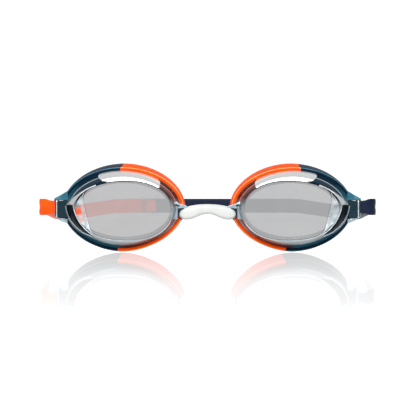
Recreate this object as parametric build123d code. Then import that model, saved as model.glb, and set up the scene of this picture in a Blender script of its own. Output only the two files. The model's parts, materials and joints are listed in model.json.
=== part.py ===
from build123d import *
import math
import os

# Low-profile swim goggles: two clear cups with mirrored lenses and two-colour
# gaskets, a soft nose bridge, and a head strap in two lengths joined by a clear
# slider clip behind the head.
#
# Everything is first drawn level: +X to the wearer's left, -Y the way the wearer
# looks, +Z up, with Z = 0 at the bottom of the gaskets. The whole object is then
# tipped back by the small angle at which it rests on its two gaskets and on the
# clip at the back. All sizes are in millimetres.

# Cups: centre of each cup, and how far its temple side is turned back
CUP_CENTRE_X = 35.6
WRAP_ANGLE = 8.0

# Lens rim, the front opening of a cup (half width, half height, centre)
RIM_HALF_WIDTH = 22.0
RIM_HALF_HEIGHT = 13.4
RIM_CENTRE = (-1.0, -1.2)

# Flange, the back edge of the clear cup
FLANGE_HALF_WIDTH = 25.3
FLANGE_HALF_HEIGHT = 16.8
FLANGE_CENTRE = (1.5, -0.3)
FLANGE_THICK = 1.6

# Depth of the clear cup from the lens rim to the back of its flange
CUP_DEPTH = 10.5
CUP_WALL = 1.8

# Lens plate, let into the front of the rim
LENS_THICK = 2.0
LENS_RIM_WIDTH = 0.9
LENS_LEDGE = 1.1
LENS_CLEARANCE = 0.05

# Gasket, the soft skirt that flares out from the flange to its lip
LIP_FLARE_WIDTH = 1.9
LIP_FLARE_HEIGHT = 2.9
LIP_CENTRE = (2.5, 0.0)
GASKET_DEPTH = 10.0
GASKET_ROOT = 2.8
GASKET_LIP = 1.8

# Where the gasket changes colour: distance from the cup centre towards the
# temple, and the lean of the joint line
SEAM_RIGHT = (2.5, -2.0)
SEAM_LEFT = (1.5, 10.7)

# Nose bridge and the pins that it hangs on, just clear of the cups' nose walls
EYE_TO_CUP = 1.2
PIN_Y = -8.0
PIN_RADIUS = 1.2
PIN_CLEARANCE = 0.08
EYE_WALL = 1.05
EYE_BOTTOM = -5.3
EYE_TOP = -0.9
EYE_FLOOR = 1.0
EAR_THICK = 1.6
EAR_GAP = 0.2
EAR_RADIUS = 1.7
BRIDGE_TOP = 1.2
BRIDGE_HEIGHT = 4.1
BRIDGE_DEPTH = 3.8
BRIDGE_ARCH = 2.4

# Temple arm with the round bar that carries the strap, clear of the gasket
STRAP_TO_GASKET = 0.92
BAR_Y = 6.0
BAR_RADIUS = 1.2
BAR_CLEARANCE = 0.08
ARM_THICK = 2.4
ARM_RAIL = 1.0
ARM_FLARE = 0.8
ARM_ROOT_DEPTH = 7.0
ARM_ROOT_HEIGHT = 13.6

# Strap: a flat band, 0.3 mm clear of the arm's rails where it goes round the bar
STRAP_WIDTH = 7.2
STRAP_THICK = 1.5
STRAP_EYE_HEIGHT = 5.2
STRAP_GAP = 0.3
LOOP_PAST_BAR = 7.7
LOOP_BACK = 128.0
FRONT_BEND = 4.4
REAR_BEND = 26.0

# Slider clip. The left strap runs on past it; the right strap ends inside it.
CLIP_X = -28.1
CLIP_LENGTH = 12.0
CLIP_RAIL = 1.5
CLIP_BAR_THICK = 1.2
CLIP_BAR_WIDTH = 2.0
CLIP_KEEPER_WIDTH = 3.0
CLIP_GAP = 0.2
CLIP_CORNER = 1.35
LEFT_TAIL = 11.0
RIGHT_TAIL = 1.2

# Heights and places that follow from the sizes above
LIP_HALF_WIDTH = FLANGE_HALF_WIDTH + LIP_FLARE_WIDTH
LIP_HALF_HEIGHT = FLANGE_HALF_HEIGHT + LIP_FLARE_HEIGHT
CUP_CENTRE_Z = LIP_HALF_HEIGHT
BORE_RADIUS = PIN_RADIUS + PIN_CLEARANCE
EYE_RADIUS = BORE_RADIUS + EYE_WALL
BAR_BORE = BAR_RADIUS + BAR_CLEARANCE
BAR_EYE_RADIUS = BAR_BORE + STRAP_THICK
LAYER_STEP = STRAP_THICK + CLIP_GAP
LIP_REST_Y = GASKET_DEPTH * math.cos(math.radians(WRAP_ANGLE))
CLIP_INSIDE_Z = STRAP_WIDTH / 2 + CLIP_GAP
CLIP_OUTSIDE_Z = CLIP_INSIDE_Z + CLIP_RAIL
CLIP_INSIDE_Y = LAYER_STEP / 2 + STRAP_THICK / 2 + CLIP_GAP
CLIP_OUTSIDE_Y = CLIP_INSIDE_Y + CLIP_BAR_THICK
CLIP_EDGE_Z = CUP_CENTRE_Z - CLIP_OUTSIDE_Z
CLIP_REST_Y = LOOP_BACK + CLIP_OUTSIDE_Y
REST_TILT = math.degrees(math.atan2(CLIP_EDGE_Z, CLIP_REST_Y - LIP_REST_Y))


def cup_point(u, depth):
    """Plan position of a point on the left cup's own long axis."""
    wrap = math.radians(WRAP_ANGLE)
    x = CUP_CENTRE_X + u * math.cos(wrap) - depth * math.sin(wrap)
    return (x, u * math.sin(wrap) + depth * math.cos(wrap))


def line_x(start, end, y):
    """Where a straight line seen in plan crosses a given depth."""
    return start[0] + (end[0] - start[0]) * (y - start[1]) / (end[1] - start[1])


def beside(start, end, y, distance):
    """The x, at a given depth, of a point at a distance from a line in plan."""
    slant = math.hypot(end[0] - start[0], end[1] - start[1]) / abs(end[1] - start[1])
    return line_x(start, end, y) + distance * slant


RIM_NOSE = cup_point(RIM_CENTRE[0] - RIM_HALF_WIDTH, -CUP_DEPTH)
FLANGE_NOSE = cup_point(FLANGE_CENTRE[0] - FLANGE_HALF_WIDTH, -FLANGE_THICK)
FLANGE_TEMPLE = cup_point(FLANGE_CENTRE[0] + FLANGE_HALF_WIDTH, 0)
LIP_TEMPLE = cup_point(LIP_CENTRE[0] + LIP_HALF_WIDTH, GASKET_DEPTH)
PIN_X = beside(RIM_NOSE, FLANGE_NOSE, PIN_Y, -EYE_RADIUS - EYE_TO_CUP)
BAR_X = beside(FLANGE_TEMPLE, LIP_TEMPLE, BAR_Y, BAR_EYE_RADIUS + STRAP_TO_GASKET)
LOOP_HALF_WIDTH = BAR_X + LOOP_PAST_BAR

FAR = 200.0


def oval(centre, half_width, half_height, depth):
    """Ellipse across a cup, at a depth behind the back of its flange."""
    plane = Plane((centre[0], depth, centre[1]), x_dir=(1, 0, 0), z_dir=(0, -1, 0))
    return plane * Ellipse(half_width, half_height)


def taper(centre_a, size_a, depth_a, centre_b, size_b, depth_b):
    """Straight-sided body between two ovals."""
    front = oval(centre_a, size_a[0], size_a[1], depth_a)
    back = oval(centre_b, size_b[0], size_b[1], depth_b)
    return loft([front, back])


def to_cup(shape):
    """Place a shape drawn about the left cup's own centre."""
    turn = Location((CUP_CENTRE_X, 0, CUP_CENTRE_Z)) * Location((0, 0, 0), (0, 0, WRAP_ANGLE))
    return turn * shape


def upright(x, y, radius, low, high):
    """Vertical cylinder between two heights measured from the cup centre."""
    foot = Location((x, y, CUP_CENTRE_Z + low))
    return foot * Cylinder(radius, high - low, align=(Align.CENTER, Align.CENTER, Align.MIN))


def block(low, high):
    """Box between two corners."""
    size = [b - a for a, b in zip(low, high)]
    return Location(low) * Box(*size, align=(Align.MIN, Align.MIN, Align.MIN))


def cup_shell():
    """Tapered clear wall with a flange at the back and a seat for the lens."""
    rim = (RIM_HALF_WIDTH, RIM_HALF_HEIGHT)
    flange = (FLANGE_HALF_WIDTH, FLANGE_HALF_HEIGHT)
    inner_rim = (rim[0] - CUP_WALL, rim[1] - CUP_WALL)
    inner_flange = (flange[0] - CUP_WALL, flange[1] - CUP_WALL)
    wall = taper(RIM_CENTRE, rim, -CUP_DEPTH, FLANGE_CENTRE, flange, -FLANGE_THICK)
    edge = taper(FLANGE_CENTRE, flange, -FLANGE_THICK, FLANGE_CENTRE, flange, 0)
    hollow = taper(RIM_CENTRE, inner_rim, -CUP_DEPTH, FLANGE_CENTRE, inner_flange, 0)
    seat_width = RIM_HALF_WIDTH - LENS_RIM_WIDTH
    seat_height = RIM_HALF_HEIGHT - LENS_RIM_WIDTH
    seat_back = LENS_THICK - CUP_DEPTH
    seat_size = (seat_width, seat_height)
    seat = taper(RIM_CENTRE, seat_size, -CUP_DEPTH, RIM_CENTRE, seat_size, seat_back)
    sight_size = (seat_width - LENS_LEDGE, seat_height - LENS_LEDGE)
    ledge_back = seat_back + LENS_THICK
    ledge_size = (seat_width + LENS_RIM_WIDTH / 2, seat_height + LENS_RIM_WIDTH / 2)
    ledge = taper(RIM_CENTRE, ledge_size, seat_back, RIM_CENTRE, ledge_size, ledge_back)
    sight = taper(RIM_CENTRE, sight_size, seat_back, RIM_CENTRE, sight_size, ledge_back)
    return (wall + edge - hollow) + (ledge - sight) - seat


def nose_ear():
    """Ear from the nose side of the cup, with the pin that the bridge hangs on."""
    low = EYE_TOP + EAR_GAP
    high = low + EAR_THICK
    tip = upright(PIN_X, PIN_Y, EAR_RADIUS, low, high)
    reach = line_x(RIM_NOSE, FLANGE_NOSE, PIN_Y - EAR_RADIUS) + CUP_WALL / 2
    web_low = (PIN_X, PIN_Y - EAR_RADIUS, CUP_CENTRE_Z + low)
    web_high = (reach, PIN_Y + EAR_RADIUS, CUP_CENTRE_Z + high)
    gusset_low = (PIN_X + EYE_RADIUS + EAR_GAP * 2, PIN_Y - EAR_RADIUS, CUP_CENTRE_Z + EYE_BOTTOM)
    gusset = block(gusset_low, web_high)
    pin = upright(PIN_X, PIN_Y, PIN_RADIUS, EYE_BOTTOM + EYE_FLOOR + EAR_GAP, high)
    return tip + block(web_low, web_high) + gusset + pin


def temple_arm():
    """Arm beyond the temple end of the flange: two rails and the strap bar."""
    rail_z = STRAP_EYE_HEIGHT / 2 + STRAP_GAP
    bar = upright(BAR_X, BAR_Y, BAR_RADIUS, -rail_z - ARM_RAIL, rail_z + ARM_RAIL)
    wall_x = BAR_X - BAR_EYE_RADIUS - STRAP_GAP
    root_x = CUP_CENTRE_X + FLANGE_CENTRE[0] + FLANGE_HALF_WIDTH - CUP_WALL * 2
    outline = [
        (root_x, ARM_ROOT_HEIGHT / 2),
        (wall_x, rail_z + ARM_RAIL + ARM_FLARE),
        (BAR_X, rail_z + ARM_RAIL),
        (BAR_X, -rail_z - ARM_RAIL),
        (wall_x, -rail_z - ARM_RAIL - ARM_FLARE),
        (root_x, -ARM_ROOT_HEIGHT / 2),
    ]
    plate_plane = Plane((0, BAR_Y - ARM_THICK / 2, CUP_CENTRE_Z), x_dir=(1, 0, 0), z_dir=(0, -1, 0))
    plate_face = plate_plane * make_face(Polyline(*outline, close=True))
    plate = extrude(plate_face, ARM_THICK, dir=(0, 1, 0))
    window_low = (wall_x, BAR_Y - ARM_THICK, CUP_CENTRE_Z - rail_z)
    window_high = (BAR_X + BAR_EYE_RADIUS, BAR_Y + ARM_THICK, CUP_CENTRE_Z + rail_z)
    root_low = (root_x, BAR_Y - ARM_ROOT_DEPTH, CUP_CENTRE_Z - ARM_ROOT_HEIGHT / 2)
    root_high = (root_x + CUP_WALL, BAR_Y + ARM_THICK / 2, CUP_CENTRE_Z + ARM_ROOT_HEIGHT / 2)
    return plate - block(window_low, window_high) + bar + block(root_low, root_high)


def cup_frame():
    """One clear cup, the left one, with its ear, pin, arm and bar."""
    shell = to_cup(cup_shell())
    inside_size = (FLANGE_HALF_WIDTH - CUP_WALL, FLANGE_HALF_HEIGHT - CUP_WALL)
    sight_size = (RIM_HALF_WIDTH - CUP_WALL, RIM_HALF_HEIGHT - CUP_WALL)
    hollow = taper(RIM_CENTRE, sight_size, -CUP_DEPTH, FLANGE_CENTRE, inside_size, 0)
    return shell + (nose_ear() + temple_arm() - to_cup(hollow))


def lens():
    """Flat mirrored plate in the seat at the front of the left cup."""
    width = RIM_HALF_WIDTH - LENS_RIM_WIDTH - LENS_CLEARANCE
    height = RIM_HALF_HEIGHT - LENS_RIM_WIDTH - LENS_CLEARANCE
    back = LENS_THICK - CUP_DEPTH
    return to_cup(taper(RIM_CENTRE, (width, height), -CUP_DEPTH, RIM_CENTRE, (width, height), back))


def gasket_ring():
    """Whole gasket of the left cup, from the flange to the flat lip."""
    root = (FLANGE_HALF_WIDTH, FLANGE_HALF_HEIGHT)
    lip = (LIP_HALF_WIDTH, LIP_HALF_HEIGHT)
    inner_root = (root[0] - GASKET_ROOT, root[1] - GASKET_ROOT)
    inner_lip = (lip[0] - GASKET_LIP, lip[1] - GASKET_LIP)
    outside = taper(FLANGE_CENTRE, root, 0, LIP_CENTRE, lip, GASKET_DEPTH)
    inside = taper(FLANGE_CENTRE, inner_root, 0, LIP_CENTRE, inner_lip, GASKET_DEPTH)
    return outside - inside


def gasket_half(seam, temple_side):
    """The part of the gasket on one side of its colour joint."""
    seam_x, lean = seam
    turn = Location((seam_x, 0, 0), (0, lean, 0))
    edge = Align.MIN if temple_side else Align.MAX
    keep = turn * Box(FAR, FAR, FAR, align=(edge, Align.CENTER, Align.CENTER))
    half = to_cup(gasket_ring() & keep)
    # the gasket is moulded round the root of the arm
    return half - temple_arm() if temple_side else half


def nose_bridge():
    """Arched band between two closed-bottom eyes that turn on the cups' pins."""
    top = CUP_CENTRE_Z + BRIDGE_TOP
    end_top = CUP_CENTRE_Z + EYE_TOP
    under = top - BRIDGE_HEIGHT
    end_under = under - BRIDGE_ARCH
    front = Plane((0, PIN_Y - BRIDGE_DEPTH / 2, 0), x_dir=(1, 0, 0), z_dir=(0, -1, 0))
    with BuildLine(front) as path:
        ThreePointArc((-PIN_X, end_top), (0, top), (PIN_X, end_top))
        Line((PIN_X, end_top), (PIN_X, end_under))
        ThreePointArc((PIN_X, end_under), (0, under), (-PIN_X, end_under))
        Line((-PIN_X, end_under), (-PIN_X, end_top))
    band = extrude(make_face(path.line), BRIDGE_DEPTH, dir=(0, 1, 0))
    for side in (-1, 1):
        band += upright(side * PIN_X, PIN_Y, EYE_RADIUS, EYE_BOTTOM, EYE_TOP)
    for side in (-1, 1):
        band -= upright(side * PIN_X, PIN_Y, BORE_RADIUS, EYE_BOTTOM + EYE_FLOOR, BRIDGE_TOP)
        # room for the ear over the eye, which turns a little with the cup
        room = upright(side * PIN_X, PIN_Y, EAR_RADIUS + EAR_GAP, EYE_TOP, BRIDGE_TOP + EAR_THICK)
        band -= room
    return band


def strap(layer, tail_x):
    """Left strap: an eye round the arm's bar, then a band round to its free end."""
    back = LOOP_BACK + layer * LAYER_STEP / 2
    corner_y = BAR_Y + FRONT_BEND
    with BuildLine() as route:
        Line((BAR_X + BAR_BORE, BAR_Y), (LOOP_HALF_WIDTH - FRONT_BEND, BAR_Y))
        RadiusArc(
            (LOOP_HALF_WIDTH - FRONT_BEND, BAR_Y), (LOOP_HALF_WIDTH, corner_y), -FRONT_BEND
        )
        Line((LOOP_HALF_WIDTH, corner_y), (LOOP_HALF_WIDTH, back - REAR_BEND))
        RadiusArc(
            (LOOP_HALF_WIDTH, back - REAR_BEND), (LOOP_HALF_WIDTH - REAR_BEND, back), -REAR_BEND
        )
        Line((LOOP_HALF_WIDTH - REAR_BEND, back), (tail_x, back))
    flat = trace(route.line, STRAP_THICK)
    low = Location((0, 0, CUP_CENTRE_Z - STRAP_WIDTH / 2))
    band = extrude(low * flat, STRAP_WIDTH)
    eye = upright(BAR_X, BAR_Y, BAR_EYE_RADIUS, -STRAP_EYE_HEIGHT / 2, STRAP_EYE_HEIGHT / 2)
    neck_x = BAR_X + BAR_EYE_RADIUS
    neck_low = (BAR_X, BAR_Y - STRAP_THICK, CUP_CENTRE_Z + STRAP_EYE_HEIGHT / 2)
    neck_high = (neck_x, BAR_Y + STRAP_THICK, CUP_CENTRE_Z + STRAP_WIDTH)
    upper_relief = block(neck_low, neck_high)
    lower_relief = mirror(upper_relief, about=Plane((0, 0, CUP_CENTRE_Z), z_dir=(0, 0, 1)))
    bore = upright(BAR_X, BAR_Y, BAR_BORE, -STRAP_WIDTH, STRAP_WIDTH)
    return band + eye - upper_relief - lower_relief - bore


def strap_clip():
    """Slider: two rails, two bars in front of the straps and a keeper behind."""
    half = CLIP_LENGTH / 2
    low = (CLIP_X - half, LOOP_BACK - CLIP_OUTSIDE_Y, CUP_CENTRE_Z - CLIP_OUTSIDE_Z)
    high = (CLIP_X + half, LOOP_BACK + CLIP_OUTSIDE_Y, CUP_CENTRE_Z + CLIP_OUTSIDE_Z)
    body = block(low, high)
    body = fillet(body.edges().filter_by(Axis.Y), CLIP_CORNER)
    channel_low = (CLIP_X - CLIP_LENGTH, LOOP_BACK - CLIP_INSIDE_Y, CUP_CENTRE_Z - CLIP_INSIDE_Z)
    channel_high = (CLIP_X + CLIP_LENGTH, LOOP_BACK + CLIP_INSIDE_Y, CUP_CENTRE_Z + CLIP_INSIDE_Z)
    body -= block(channel_low, channel_high)
    gap_low = (CLIP_X - half + CLIP_BAR_WIDTH, LOOP_BACK - CLIP_OUTSIDE_Y, CUP_CENTRE_Z - CLIP_INSIDE_Z)
    gap_high = (CLIP_X + half - CLIP_BAR_WIDTH, LOOP_BACK, CUP_CENTRE_Z + CLIP_INSIDE_Z)
    body -= block(gap_low, gap_high)
    keeper = CLIP_KEEPER_WIDTH / 2
    for a, b in ((CLIP_X - CLIP_LENGTH, CLIP_X - keeper), (CLIP_X + keeper, CLIP_X + CLIP_LENGTH)):
        cut_low = (a, LOOP_BACK, CUP_CENTRE_Z - CLIP_INSIDE_Z)
        cut_high = (b, LOOP_BACK + CLIP_OUTSIDE_Y, CUP_CENTRE_Z + CLIP_INSIDE_Z)
        body -= block(cut_low, cut_high)
    return body


def other_side(shape):
    """Mirror a left-hand shape to the wearer's right."""
    return mirror(shape, about=Plane.YZ)


def build_level():
    """All pieces, still level, by node name."""
    frame_left = cup_frame()
    lens_left = lens()
    return {
        "left_frame": frame_left,
        "right_frame": other_side(frame_left),
        "left_lens": lens_left,
        "right_lens": other_side(lens_left),
        "left_gasket_nose_side": gasket_half(SEAM_LEFT, False),
        "left_gasket_temple_side": gasket_half(SEAM_LEFT, True),
        "right_gasket_nose_side": other_side(gasket_half(SEAM_RIGHT, False)),
        "right_gasket_temple_side": other_side(gasket_half(SEAM_RIGHT, True)),
        "nose_bridge": nose_bridge(),
        "left_strap": strap(1, CLIP_X - LEFT_TAIL),
        "right_strap": other_side(strap(-1, -CLIP_X - RIGHT_TAIL)),
        "strap_clip": strap_clip(),
    }


def main():
    pieces = build_level()
    tip = Location((0, 0, 0), (-REST_TILT, 0, 0))
    tipped = {name: tip * shape for name, shape in pieces.items()}
    box = Compound(children=list(tipped.values())).bounding_box()
    rest = Location((-(box.min.X + box.max.X) / 2, -(box.min.Y + box.max.Y) / 2, -box.min.Z))
    place = rest * tip

    os.makedirs("parts", exist_ok=True)
    for name, shape in pieces.items():
        export_step(place * shape, os.path.join("parts", name + ".step"))

    lip_top = to_cup(Location((LIP_CENTRE[0], GASKET_DEPTH, LIP_HALF_HEIGHT - GASKET_LIP / 2)))
    marks = {
        "nose pin": Location((PIN_X, PIN_Y, CUP_CENTRE_Z)),
        "strap bar": Location((BAR_X, BAR_Y, CUP_CENTRE_Z)),
        "clip": Location((CLIP_X, LOOP_BACK, CUP_CENTRE_Z)),
        "top of the lip": lip_top,
    }
    print("rest tilt %.4f degrees" % REST_TILT)
    for name, spot in marks.items():
        at = (place * spot).position
        print("%s %.4f %.4f %.4f" % (name, at.X, at.Y, at.Z))


main()
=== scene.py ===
import json
import math

import bmesh
import bpy
from mathutils import Matrix, Vector


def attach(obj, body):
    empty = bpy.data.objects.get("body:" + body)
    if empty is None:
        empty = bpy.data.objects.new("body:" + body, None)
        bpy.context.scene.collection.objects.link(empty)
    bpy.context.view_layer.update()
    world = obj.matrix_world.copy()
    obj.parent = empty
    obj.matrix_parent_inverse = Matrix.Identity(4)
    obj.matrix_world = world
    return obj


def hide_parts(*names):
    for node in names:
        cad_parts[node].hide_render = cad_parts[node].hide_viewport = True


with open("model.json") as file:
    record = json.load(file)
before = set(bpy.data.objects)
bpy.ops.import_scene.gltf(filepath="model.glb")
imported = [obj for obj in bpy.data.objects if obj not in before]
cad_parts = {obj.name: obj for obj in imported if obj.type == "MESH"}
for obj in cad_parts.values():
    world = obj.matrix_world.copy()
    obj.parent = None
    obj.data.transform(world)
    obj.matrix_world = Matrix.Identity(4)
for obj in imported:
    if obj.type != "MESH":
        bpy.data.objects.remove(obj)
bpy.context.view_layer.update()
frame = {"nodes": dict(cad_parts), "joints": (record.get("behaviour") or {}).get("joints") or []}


# ---------------------------------------------------------------------------
# Clear cups. Each is a polycarbonate shell, injection moulded in one piece
# with its flange, the ear and pin for the nose bridge, and the temple arm
# with the bar for the strap. Polished, and tinted a light smoky blue.
# Sizes are in millimetres about the cup's own centre: u to the temple, w back
# from the flange, v up.
# ---------------------------------------------------------------------------
MM = 0.001
LEFT, RIGHT = 1, -1
SIDES = (("left", LEFT), ("right", RIGHT))
RING_POINTS = 144

joints = {joint["name"]: joint for joint in frame["joints"]}
pin_at = Vector(joints["left_cup_flex"]["pos_m"])
bar_at = Vector(joints["left_strap_pivot"]["pos_m"])
upward = Vector(joints["left_cup_flex"]["axis"])

# The pin's own place when the goggles are held level, with the gaskets' lowest
# point at height 0. The whole object rests tipped back by a few degrees.
PIN_LEVEL = Vector((9.354, -8.0, 19.7))
LEVEL_TO_REST = (
    Matrix.Translation(pin_at)
    @ Matrix.Rotation(-math.atan2(upward.y, upward.z), 4, "X")
    @ Matrix.Scale(MM, 4)
    @ Matrix.Translation(-PIN_LEVEL)
)
bar_level = LEVEL_TO_REST.inverted() @ bar_at

CUP_CENTRE = Vector((35.6, 0.0, PIN_LEVEL.z))
WRAP = math.radians(8.0)
LEFT_CUP = Matrix.Translation(CUP_CENTRE) @ Matrix.Rotation(WRAP, 4, "Z")

FRAME_WALL = 1.7
CUP_FRONT = -10.5
FLANGE_BACK = -0.05
PIN_RADIUS, BAR_RADIUS = 1.2, 1.2


def mirrored(side):
    """Keeps a left-hand shape, or turns it into the right-hand one."""
    return Matrix.Diagonal((side, 1, 1, 1))


def oval(centre, temple_half, nose_half, half_height, power, grow=0.0):
    """Outline of a rounded oval as a function of the angle round it."""

    def at(angle):
        c, s = math.cos(angle), math.sin(angle)
        half_width = temple_half if c > 0 else nose_half
        reach = abs(c / (half_width + grow)) ** power + abs(s / (half_height + grow)) ** power
        radius = reach ** (-1.0 / power)
        return centre[0] + radius * c, centre[1] + radius * s

    return at


def rim_line(grow=0.0):
    """Outline of the cup's front rim."""
    return oval((-1.0, -1.2), 22.0, 21.9, 13.4, 2.05, grow)


def flange_line(grow=0.0):
    """Flange outline: it reaches lower below the middle than above it."""
    upper = oval((1.5, -0.3), 25.2, 26.1, 16.35, 1.95, grow)
    lower = oval((1.5, -0.3), 25.2, 26.1, 17.8, 1.86, grow)
    return lambda angle: upper(angle) if math.sin(angle) > 0 else lower(angle)


def between(line_a, line_b, share):
    """Outline part of the way from one outline to another."""

    def at(angle):
        a, b = line_a(angle), line_b(angle)
        return a[0] + (b[0] - a[0]) * share, a[1] + (b[1] - a[1]) * share

    return at


def wall_depth(u, v):
    """Depth of the tapered wall's outside where a line along the view meets it."""
    near, far = 0.0, 1.0
    for _ in range(24):
        share = (near + far) / 2
        line = between(rim_line(0.15), flange_line(-0.75), share)
        centre = (-1.0 + 2.5 * share, -1.2 + 0.9 * share)
        edge = line(math.atan2(v - centre[1], u - centre[0]))
        if math.dist((u, v), centre) > math.dist(edge, centre):
            near = share
        else:
            far = share
    return -9.7 + 7.4 * near


def extrude_ring(bm, edges):
    """Extrudes an open ring of edges: returns the new points, open edges and faces."""
    made = bmesh.ops.extrude_edge_only(bm, edges=edges)["geom"]
    verts = [item for item in made if isinstance(item, bmesh.types.BMVert)]
    faces = [item for item in made if isinstance(item, bmesh.types.BMFace)]
    new_edges = [item for item in made if isinstance(item, bmesh.types.BMEdge)]
    open_edges = [edge for edge in new_edges if len(edge.link_faces) == 1]
    return verts, open_edges, faces


def ring_body(bm, stations, closed=True, count=RING_POINTS, material=None):
    """Lofts a skin through rings, each given as (outline, depth).

    The first ring is a circle that takes its outline, and every further ring is
    extruded from the one before. A closed body joins its last ring to its first.
    """
    angle_layer = bm.verts.layers.float.get("angle") or bm.verts.layers.float.new("angle")
    first = bmesh.ops.create_circle(bm, cap_ends=False, radius=1.0, segments=count)["verts"]
    for vert in first:
        vert[angle_layer] = math.atan2(vert.co.y, vert.co.x)
    edges = list({edge for vert in first for edge in vert.link_edges})
    first_edges = edges

    def settle(verts, station):
        outline, depth = station
        for vert in verts:
            u, v = outline(vert[angle_layer])
            w = depth(vert[angle_layer]) if callable(depth) else depth
            vert.co = (u, w, v)

    settle(first, stations[0])
    faces = []
    for number, station in enumerate(stations[1:]):
        verts, edges, new_faces = extrude_ring(bm, edges)
        settle(verts, station)
        if material:
            for face in new_faces:
                face.material_index = material[number]
        faces += new_faces
    if closed:
        joined = bmesh.ops.bridge_loops(bm, edges=first_edges + edges)["faces"]
        faces += joined
    return first_edges, edges, faces


def cap(bm, edges):
    """Closes an open ring with one flat face."""
    return bmesh.ops.contextual_create(bm, geom=edges)["faces"]


def bar_shape(bm, at, radius, low, high, segments=24):
    """Upright round bar between two heights, with broken edges."""
    made = bmesh.ops.create_cone(
        bm, cap_ends=True, segments=segments, radius1=radius, radius2=radius, depth=high - low
    )["verts"]
    bmesh.ops.translate(bm, vec=Vector((at[0], at[1], (low + high) / 2)), verts=made)
    ends = [e for v in made for e in v.link_edges if abs(e.calc_face_angle(0.0)) > 1.0]
    bmesh.ops.bevel(
        bm, geom=list(set(ends)), offset=radius * 0.15, affect="EDGES",
        segments=2, profile=0.5, material=-1
    )


def plate(bm, outline, front, back, break_edge=0.25, segments=3):
    """Flat plate seen from the front: outline in x and z, thickness from front to back."""
    verts = [bm.verts.new((x, front, z)) for x, z in outline]
    face = bm.faces.new(verts)
    made = bmesh.ops.extrude_face_region(bm, geom=[face])["geom"]
    moved = [item for item in made if isinstance(item, bmesh.types.BMVert)]
    bmesh.ops.translate(bm, vec=Vector((0, back - front, 0)), verts=moved)
    rim = {edge for vert in verts + moved for edge in vert.link_edges}
    if break_edge:
        bmesh.ops.bevel(
            bm, geom=list(rim), offset=break_edge, affect="EDGES",
            segments=segments, profile=0.5, material=-1
        )


def finish_piece(bm, name, matrix, materials, crease=32.0):
    """Puts a shape in its place and makes it a smooth-shaded piece with crisp edges."""
    bm.transform(matrix)
    bmesh.ops.remove_doubles(bm, verts=bm.verts, dist=0.00001)
    bmesh.ops.recalc_face_normals(bm, faces=bm.faces)
    limit = math.radians(crease)
    for face in bm.faces:
        face.smooth = True
    for edge in bm.edges:
        edge.smooth = edge.calc_face_angle(0.0) < limit
    mesh = bpy.data.meshes.new(name)
    bm.to_mesh(mesh)
    bm.free()
    for material in materials:
        mesh.materials.append(material)
    piece = bpy.data.objects.new(name, mesh)
    bpy.context.scene.collection.objects.link(piece)
    return piece


def new_material(name):
    """Empty node material: returns it with its nodes, links and shader."""
    material = bpy.data.materials.new(name)
    material.use_nodes = True
    nodes, links = material.node_tree.nodes, material.node_tree.links
    return material, nodes, links, nodes["Principled BSDF"]


def noise(nodes, links, scale, detail=3.0, stretch=(1, 1, 1)):
    """Noise pattern fixed to the piece, at a scale in features per metre."""
    where = nodes.new("ShaderNodeTexCoord")
    fit = nodes.new("ShaderNodeMapping")
    fit.inputs["Scale"].default_value = stretch
    pattern = nodes.new("ShaderNodeTexNoise")
    pattern.inputs["Scale"].default_value = scale
    pattern.inputs["Detail"].default_value = detail
    links.new(where.outputs["Object"], fit.inputs["Vector"])
    links.new(fit.outputs["Vector"], pattern.inputs["Vector"])
    return pattern


def spread(nodes, links, source, low, high):
    """Turns a 0 to 1 pattern into a range of values."""
    span = nodes.new("ShaderNodeMapRange")
    span.inputs["To Min"].default_value = low
    span.inputs["To Max"].default_value = high
    links.new(source, span.inputs["Value"])
    return span.outputs["Result"]


def relief(nodes, links, shader, source, strength, distance):
    """Fine surface relief from a pattern."""
    bump = nodes.new("ShaderNodeBump")
    bump.inputs["Strength"].default_value = strength
    bump.inputs["Distance"].default_value = distance
    links.new(source, bump.inputs["Height"])
    links.new(bump.outputs["Normal"], shader.inputs["Normal"])


def two_tone(nodes, links, shader, source, colour_a, colour_b, low=0.35, high=0.65):
    """Slight drift between two colours over a piece."""
    ramp = nodes.new("ShaderNodeValToRGB")
    ramp.color_ramp.elements[0].position = low
    ramp.color_ramp.elements[0].color = (*colour_a, 1)
    ramp.color_ramp.elements[1].position = high
    ramp.color_ramp.elements[1].color = (*colour_b, 1)
    links.new(source, ramp.inputs["Fac"])
    links.new(ramp.outputs["Color"], shader.inputs["Base Color"])


def clear_plastic(name, colour_a, colour_b):
    """Polished clear polycarbonate with the faint flow marks and haze of a moulding."""
    material, nodes, links, shader = new_material(name)
    shader.inputs["Transmission Weight"].default_value = 1.0
    shader.inputs["IOR"].default_value = 1.5
    shader.inputs["Coat Weight"].default_value = 0.25
    shader.inputs["Coat Roughness"].default_value = 0.03
    flow = noise(nodes, links, 60.0, 2.0, (1, 1, 3))
    two_tone(nodes, links, shader, flow.outputs["Fac"], colour_a, colour_b)
    haze = noise(nodes, links, 900.0, 4.0)
    rough = spread(nodes, links, haze.outputs["Fac"], 0.02, 0.07)
    links.new(rough, shader.inputs["Roughness"])
    relief(nodes, links, shader, flow.outputs["Fac"], 0.05, 0.0003)
    return material


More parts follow.
